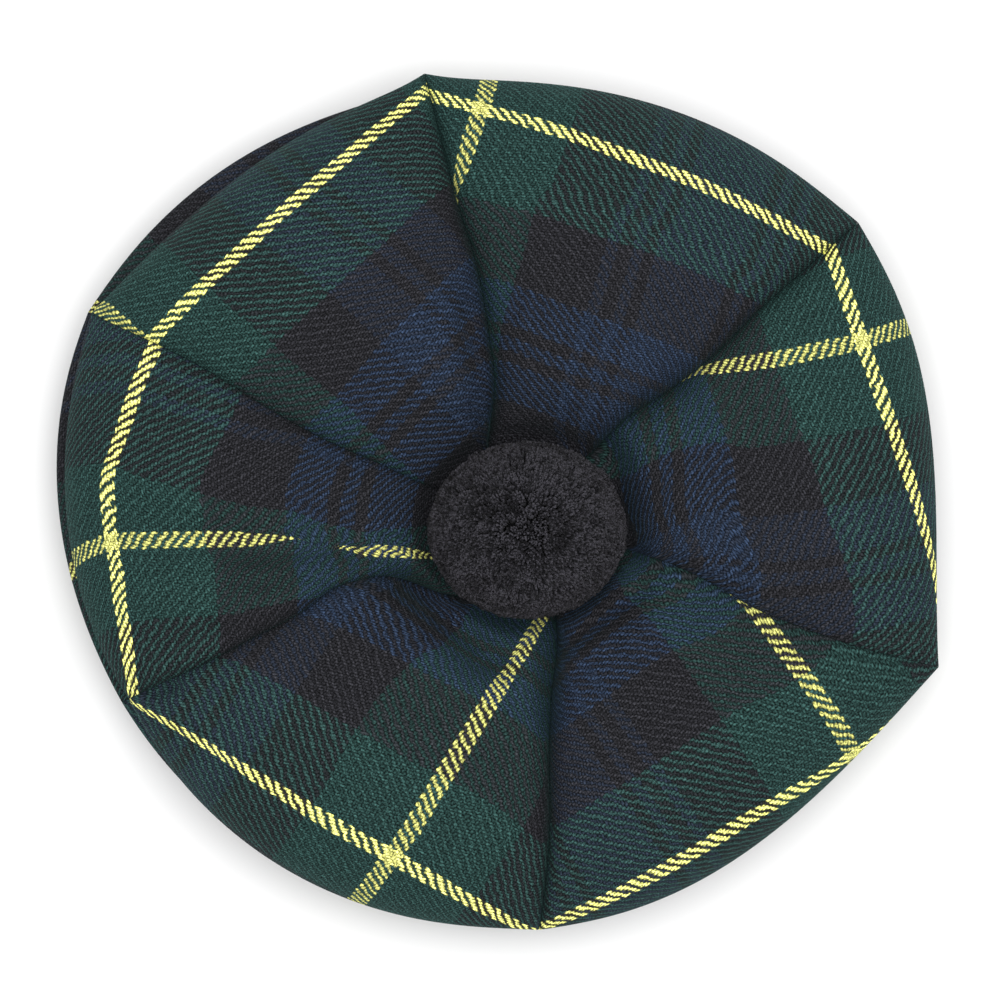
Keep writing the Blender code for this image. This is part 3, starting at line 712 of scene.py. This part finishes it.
pompom = {
    "middle": (9.6, -8.6, 59.1),
    "radii": (31.2, 27.9, 24.0),
    "seat": -0.95,                       # flat below this share of the height
    "core": 0.88,
    "tufts": 24000,
    "tuftRoot": 0.865,                   # share of the radius at which a tuft starts
    "tuftWidths": (0.46, 0.40),          # half widths at its root and tip
    "widthSpread": (0.8, 1.25),
    "clumps": 900,
    "clumping": 0.30,                    # how far a tip leans to the middle of its clump
    "clumpTones": (0.55, 1.45),
    "tuftTones": (0.10, 1.65),
    "paintedRootShade": (0.2, 1.0),             # painted shade deep in the wool: share of a tuft's tone at its root and tip
    # painted shade: the core is painted near black, as the shade between the tufts
    "paintedCoreShade": 0.05,
    "coreGrid": (33, 64),                # rows and columns
    "paintedSideShade": 0.14,                   # painted shade: how much darker the wool is painted round the side, and more so below
    "astray": (0.008, 0.03),             # of the roots, and of the clumps
    "uneven": (0.006, 0.009),            # of the tips, and of the clumps
    "lean": 0.10,
    "seed": 11,
    "colours": ((0.0015, 0.0015, 0.002, 1.0), (0.056, 0.054, 0.065, 1.0)),
    "speckle": 1500.0,
    "grain": (0.36, 0.64, 0.0, 1.15),    # range of the speckle's noise, and the shares made of it
    "relief": 0.0004,
}
# partings of the wool on top, and swellings (a depth below 0), in millimetres from the pompom's
# middle, with a depth as a share of the radius, a half width and how dark it is painted there:
# painted shade in a parting, painted light (below 0) on a swelling
partings = {
    "left": (-19.7, 5.6, -5.0, 7.2, 0.065, 2.4, 0.42),
    "middle": (-5.0, 7.2, -1.2, 1.0, 0.045, 2.2, 0.35),
    "right": (14.0, 4.6, 8.3, -6.0, 0.045, 2.6, 0.38),
    "upper": (-14.0, 15.0, -18.5, 8.5, 0.03, 3.2, 0.25),
    "island": (-9.4, 2.6, -8.0, 2.8, -0.03, 3.8, -0.20),
    "brow": (3.0, 6.6, 6.5, 9.0, -0.03, 5.0, -0.30),
    "crest": (5.5, 15.0, 9.5, 21.5, -0.02, 5.0, -0.20),
}


def spiralPoints(count):
    # even directions on a sphere: equal steps of height, and a golden turn from each to the next
    number = np.arange(count) + 0.5
    z = 1.0 - 2.0 * number / count
    turn = number * math.pi * (3.0 - math.sqrt(5.0))
    flat = np.sqrt(1.0 - z * z)
    return np.stack([flat * np.cos(turn), flat * np.sin(turn), z], axis=-1)


def makePompomMaterial():
    material, tree, shader = newMaterial("pompomWool", 0.92, 0.05, specular=0.1)
    place = tree.nodes.new("ShaderNodeTexCoord").outputs["Object"]
    speckle = noiseField(tree, place, pompom["speckle"], 3.0)
    grain = rangeMap(tree, speckle, *pompom["grain"])
    # the tone attribute carries the wool's random tone and its painted shade at roots, core, sides and
    # partings
    mixed = maths(tree, "MULTIPLY", readAttribute(tree, "tone"), grain)
    tree.links.new(twoColours(tree, mixed, *pompom["colours"]), shader.inputs["Base Color"])
    addBump(tree, shader, speckle, pompom["relief"])
    return material


def makePompom():
    # Each tuft is a short three-sided strand, closed at both ends: its middle line goes out
    # from the core with its clump's lean, and its reach is less in a parting.
    chance = np.random.default_rng(pompom["seed"])
    radii, middle = np.array(pompom["radii"]), np.array(pompom["middle"])
    roots, clumps = (unit(spiralPoints(pompom[label]) + chance.normal(0.0, astray, (pompom[label], 3)))
                     for label, astray in zip(("tufts", "clumps"), pompom["astray"]))
    nearest = np.argmax(roots @ clumps.T, axis=1)
    aims = unit(roots + chance.normal(0.0, pompom["lean"], clumps.shape)[nearest]
                + pompom["clumping"] * (clumps[nearest] - roots))
    tipNoise, clumpNoise = pompom["uneven"]
    reach = (1.0 + chance.normal(0.0, tipNoise, len(roots))
             + chance.normal(0.0, clumpNoise, len(clumps))[nearest])
    tipTones = (chance.uniform(*pompom["tuftTones"], len(roots))
                * chance.uniform(*pompom["clumpTones"], len(clumps))[nearest])
    # painted shade: darker round the side, darkest underneath
    tipTones *= 1.0 - pompom["paintedSideShade"] * (1.0 - roots[:, 2])
    # partings dip the tufts and paint shade on them; swellings raise them and paint light on them
    for fromX, fromY, toX, toY, depth, halfWidth, dark in partings.values():
        apart = linesDistance((roots * radii)[:, :2], (fromX, fromY), (toX, toY))
        bell = np.where(roots[:, 2] > 0.0, np.exp(-(apart / halfWidth) ** 2), 0.0)
        reach -= depth * bell
        tipTones *= 1.0 - dark * bell
    start = roots * pompom["tuftRoot"]
    end = unit(start + aims * (1.0 - pompom["tuftRoot"])) * reach[:, None]
    line = np.stack([start, end], axis=1)
    line[..., 2] = np.maximum(line[..., 2], pompom["seat"])
    line = middle + line * radii
    aim = unit(line[:, 1] - line[:, 0] + 1e-6)
    aside = unit(np.cross(aim, unit(chance.normal(0.0, 1.0, aim.shape))))
    askew = np.cross(aim, aside)
    turns = np.array((0.0, 2.0, 4.0)) * math.pi / 3.0
    around = (aside[:, None, None] * np.cos(turns)[:, None]
              + askew[:, None, None] * np.sin(turns)[:, None])
    widths = (np.array(pompom["tuftWidths"])[None, :, None, None]
              * chance.uniform(*pompom["widthSpread"], (len(roots), 1, 1, 1)))
    points = (line[:, :, None] + around * widths).reshape(-1, 3)
    first = 6 * np.arange(len(roots))[:, None, None]
    sides = (np.array([[0, 1, 4, 3], [1, 2, 5, 4], [2, 0, 3, 5]]) + first).reshape(-1, 4).tolist()
    ends = (np.array([[2, 1, 0], [3, 4, 5]]) + first).reshape(-1, 3).tolist()
    # painted shade deep in the wool: each tuft darker at its root
    tones = np.repeat(tipTones[:, None] * np.array(pompom["paintedRootShade"]), 3)

    # the core: a closed ball of latitude rows, flattened at the seat
    rows, columns = pompom["coreGrid"]
    polar = np.linspace(0.002, math.pi - 0.002, rows)[:, None]
    turn = np.linspace(0.0, 2.0 * math.pi, columns, endpoint=False)[None, :]
    ball = np.stack([np.sin(polar) * np.cos(turn), np.sin(polar) * np.sin(turn),
                     np.cos(polar) * np.ones_like(turn)], axis=-1) * pompom["core"]
    ball[..., 2] = np.maximum(ball[..., 2], pompom["seat"])
    grid = np.arange(rows * columns).reshape(rows, columns)
    ballQuads = gridQuads(np.concatenate([grid, grid[:, :1]], axis=1))[:, ::-1]
    first = len(points)
    points = np.concatenate([points, (middle + ball * radii).reshape(-1, 3)])
    faces = sides + ends + (ballQuads + first).tolist()
    faces += [(grid[0] + first).tolist(), (grid[-1, ::-1] + first).tolist()]
    # the core painted near black, as the shade between the tufts
    tones = np.concatenate([tones, np.full(rows * columns, pompom["paintedCoreShade"])])

    newPiece("pompomWool", points, faces, makePompomMaterial(), ["pompom"],
             attributes={"tone": tones})
    print("pompom of", len(roots), "tufts")


makePompom()


def turnedPiece(name, profile, columns, middle, material, node):
    # a closed profile of (radius, height) carried round an upright axis
    profile = np.array(profile)
    turn = np.linspace(0.0, 2.0 * math.pi, columns, endpoint=False)
    radius, height = (profile[:, side][:, None] * np.ones_like(turn) for side in (0, 1))
    points = np.stack([middle[0] + radius * np.cos(turn), middle[1] + radius * np.sin(turn), height],
                      axis=-1)
    grid = np.arange(radius.size).reshape(radius.shape)
    wrapped = np.concatenate([grid, grid[:1]])
    quads = gridQuads(np.concatenate([wrapped, wrapped[:, :1]], axis=1))
    newPiece(name, points.reshape(-1, 3), quads.tolist(), material, [node])


def roundedBox(inside, outside, bottom, top, radius, steps):
    # the outline of a wall with rounded edges, clockwise from its outer bottom corner
    corners = ((outside - radius, bottom + radius, -90.0), (outside - radius, top - radius, 0.0),
               (inside + radius, top - radius, 90.0), (inside + radius, bottom + radius, 180.0))
    outline = []
    for x, z, start in corners:
        turn = np.radians(start + 90.0 * np.arange(steps + 1) / steps)
        outline += list(zip(x + radius * np.cos(turn), z + radius * np.sin(turn)))
    return outline


def napMaterial(name, look):
    # plain matt wool: two colours and a low relief from one fine noise
    material, tree, shader = newMaterial(name, look["roughness"], look["sheen"], specular=look["specular"])
    place = tree.nodes.new("ShaderNodeTexCoord").outputs["Object"]
    nap = noiseField(tree, place, look["nap"], 3.0)
    tree.links.new(twoColours(tree, nap, *look["colours"]), shader.inputs["Base Color"])
    addBump(tree, shader, nap, look["relief"])
    return material


band = {
    "thickness": 2.5,
    "edge": 1.1,                         # radius of its rounded edges, and steps round each
    "edgeSteps": 6,
    "columns": 360,
    "colours": ((0.004, 0.004, 0.006, 1.0), (0.016, 0.016, 0.02, 1.0)),
    "nap": 900.0,
    "relief": 0.0003,
    "roughness": 0.9,
    "sheen": 0.1,
    "specular": 0.25,
}


def makeBand():
    low, high = (np.array(corner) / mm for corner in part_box("headband"))
    outline = roundedBox(high[0] - band["thickness"], high[0], low[2], high[2], band["edge"],
                         band["edgeSteps"])
    turnedPiece("bandCloth", outline, band["columns"], (0.0, 0.0), napMaterial("bandCloth", band),
                "headband")


tie = {
    "stem": 4.4,                         # radius of the yarn through the eye, and of its bore
    "bore": 0.15,
    "knot": (2.5, 0.8),                  # height of the knot below, and the bevel of its edges
    "columns": 48,
    "colours": ((0.003, 0.003, 0.004, 1.0), (0.02, 0.02, 0.023, 1.0)),
    "nap": 1500.0,
    "relief": 0.0004,
    "roughness": 0.9,
    "sheen": 0.1,
    "specular": 0.25,
}


def makeTie():
    low, high = (np.array(corner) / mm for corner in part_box("pompom_tie"))
    knot = (high[0] - low[0]) / 2.0
    tall, bevel = tie["knot"]
    outline = [(tie["bore"], low[2]), (knot - bevel, low[2]), (knot, low[2] + bevel),
               (knot, low[2] + tall - bevel), (knot - bevel, low[2] + tall), (tie["stem"], low[2] + tall),
               (tie["stem"], high[2]), (tie["bore"], high[2])]
    middle = (low + high) / 2.0
    turnedPiece("tieYarn", outline, tie["columns"], middle[:2], napMaterial("tieYarn", tie),
                "pompom_tie")


makeBand()
makeTie()
print("band and tie ready")


stage = {
    "floor": (0.93, 0.93, 0.93, 1.0),
    "floorHalf": 3.0,
    "world": 0.80,
    "keyPlace": (0.12, 0.08, 1.8),
    "keySize": 1.3,
    "keyPower": 24.0,
    "viewCentre": (0.00099, 0.00096),
    "viewHeight": 2.44,
    "lens": 270.0,
}


def makeStage():
    mesh = bpy.data.meshes.new("floor")
    corners = [(x * stage["floorHalf"], y * stage["floorHalf"], 0.0)
               for x, y in ((-1, -1), (1, -1), (1, 1), (-1, 1))]
    mesh.from_pydata(corners, [], [(0, 1, 2, 3)])
    floor = bpy.data.objects.new("floor", mesh)
    bpy.context.scene.collection.objects.link(floor)
    material, _, shader = newMaterial("floorPaper", 0.9, 0.0, specular=0.2)
    shader.inputs["Base Color"].default_value = stage["floor"]
    mesh.materials.append(material)

    world = bpy.data.worlds.new("studio")
    bpy.context.scene.world = world
    world.use_nodes = True
    background = world.node_tree.nodes["Background"]
    background.inputs["Color"].default_value = (1.0, 1.0, 1.0, 1.0)
    background.inputs["Strength"].default_value = stage["world"]

    light = bpy.data.lights.new("key", "AREA")
    light.size = stage["keySize"]
    light.energy = stage["keyPower"]
    key = bpy.data.objects.new("key", light)
    key.location = stage["keyPlace"]
    key.rotation_euler = (-Vector(stage["keyPlace"])).to_track_quat("-Z", "Y").to_euler()
    bpy.context.scene.collection.objects.link(key)

    camera = bpy.data.cameras.new("camera")
    camera.lens = stage["lens"]
    camera.sensor_width = 36.0
    camera.clip_end = 20.0
    holder = bpy.data.objects.new("camera", camera)
    holder.location = (*stage["viewCentre"], stage["viewHeight"])
    bpy.context.scene.collection.objects.link(holder)
    bpy.context.scene.camera = holder
    bpy.context.scene.view_settings.view_transform = "Standard"


makeStage()
